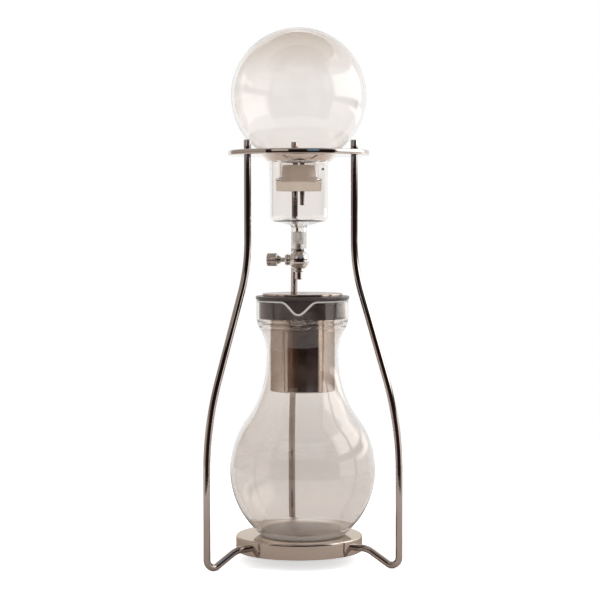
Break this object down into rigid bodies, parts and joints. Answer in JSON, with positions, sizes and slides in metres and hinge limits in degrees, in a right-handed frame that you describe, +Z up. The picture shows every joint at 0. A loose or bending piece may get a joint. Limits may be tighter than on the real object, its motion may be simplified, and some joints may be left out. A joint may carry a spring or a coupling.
{
  "type": "cold drip coffee tower",
  "caption": "Desktop cold drip coffee tower: water globe and chamber over a needle drip valve, steel filter in a waisted glass carafe, and a bent-rod stand with a round base.",
  "frame": {"origin": "on the floor, on the axis of the top ring and the round base, midway between the three feet", "axes": "+Z up along the tower's axis, -Y to the front where the carafe comes out, +Y towards the rear leg, +X to the right"},
  "size_m": [0.1758, 0.1666, 0.4798],
  "materials": {
    "polished_steel": "polished stainless steel, warm grey reflections",
    "plain_steel": "plain zinc-plated steel",
    "tube_steel": "polished steel tube",
    "valve_metal": "polished plated metal",
    "filter_steel": "polished sheet steel",
    "glass": "clear blown glass",
    "stopper_rubber": "matt beige silicone rubber",
    "grey_rubber": "dark grey satin rubber",
    "black_rubber": "black rubber",
    "frosted_sleeve": "frosted translucent sleeve"
  },
  "bodies": {
    "stand": {"top_ring": "polished_steel", "seat_collar": "polished_steel", "cap_nuts": "polished_steel", "leg_left": "polished_steel", "leg_right": "polished_steel", "leg_rear": "polished_steel", "base_cover": "polished_steel", "base_plate": "plain_steel", "base_screws": "plain_steel", "leg_nuts": "plain_steel"},
    "chamber": {"water_chamber": "glass", "joint_sleeve": "frosted_sleeve"},
    "globe": {"globe": "glass"},
    "stopper": {"stopper": "stopper_rubber", "water_tube": "tube_steel", "air_tube": "tube_steel"},
    "valve": {"valve_body": "valve_metal", "packing_nut": "valve_metal", "stem_o_ring": "black_rubber", "drip_tip": "valve_metal"},
    "needle": {"valve_stem": "tube_steel"},
    "knob": {"valve_knob": "valve_metal", "knob_screw": "plain_steel"},
    "carafe": {"carafe": "glass"},
    "filter": {"coffee_chamber": "filter_steel", "filter_screen": "filter_steel", "neck_seal": "grey_rubber"},
    "lid": {"filter_lid": "filter_steel"}
  },
  "joints": [
    {"name": "chamber_lift", "type": "slide", "parent": "stand", "child": "chamber", "axis": [0, 0, 1], "range_m": [0, 0.075]},
    {"name": "globe_lift", "type": "slide", "parent": "chamber", "child": "globe", "axis": [0, 0, 1], "range_m": [0, 0.065]},
    {"name": "stopper_pull", "type": "slide", "parent": "globe", "child": "stopper", "axis": [0, 0, -1], "range_m": [0, 0.013]},
    {"name": "valve_swivel", "type": "hinge", "parent": "chamber", "child": "valve", "pos_m": [0, 0, 0.2722], "axis": [0, 0, 1], "continuous": true},
    {"name": "needle_advance", "type": "slide", "parent": "valve", "child": "needle", "axis": [-0.9659, 0.2588, 0], "range_m": [0, 0.0021]},
    {"name": "knob_turn", "type": "hinge", "parent": "needle", "child": "knob", "pos_m": [0, 0, 0.2722], "axis": [-0.9659, 0.2588, 0], "range_deg": [0, 1080]},
    {"name": "carafe_slide", "type": "slide", "parent": "stand", "child": "carafe", "axis": [0, -1, 0], "range_m": [0, 0.19]},
    {"name": "filter_lift", "type": "slide", "parent": "carafe", "child": "filter", "axis": [0, 0, 1], "range_m": [0, 0.0058]},
    {"name": "lid_lift", "type": "slide", "parent": "filter", "child": "lid", "axis": [0, 0, 1], "range_m": [0, 0.0058]}
  ],
  "couplings": [
    {"joint": "needle_advance", "follows": "knob_turn", "m_per_rad": 0.0001114}
  ]
}
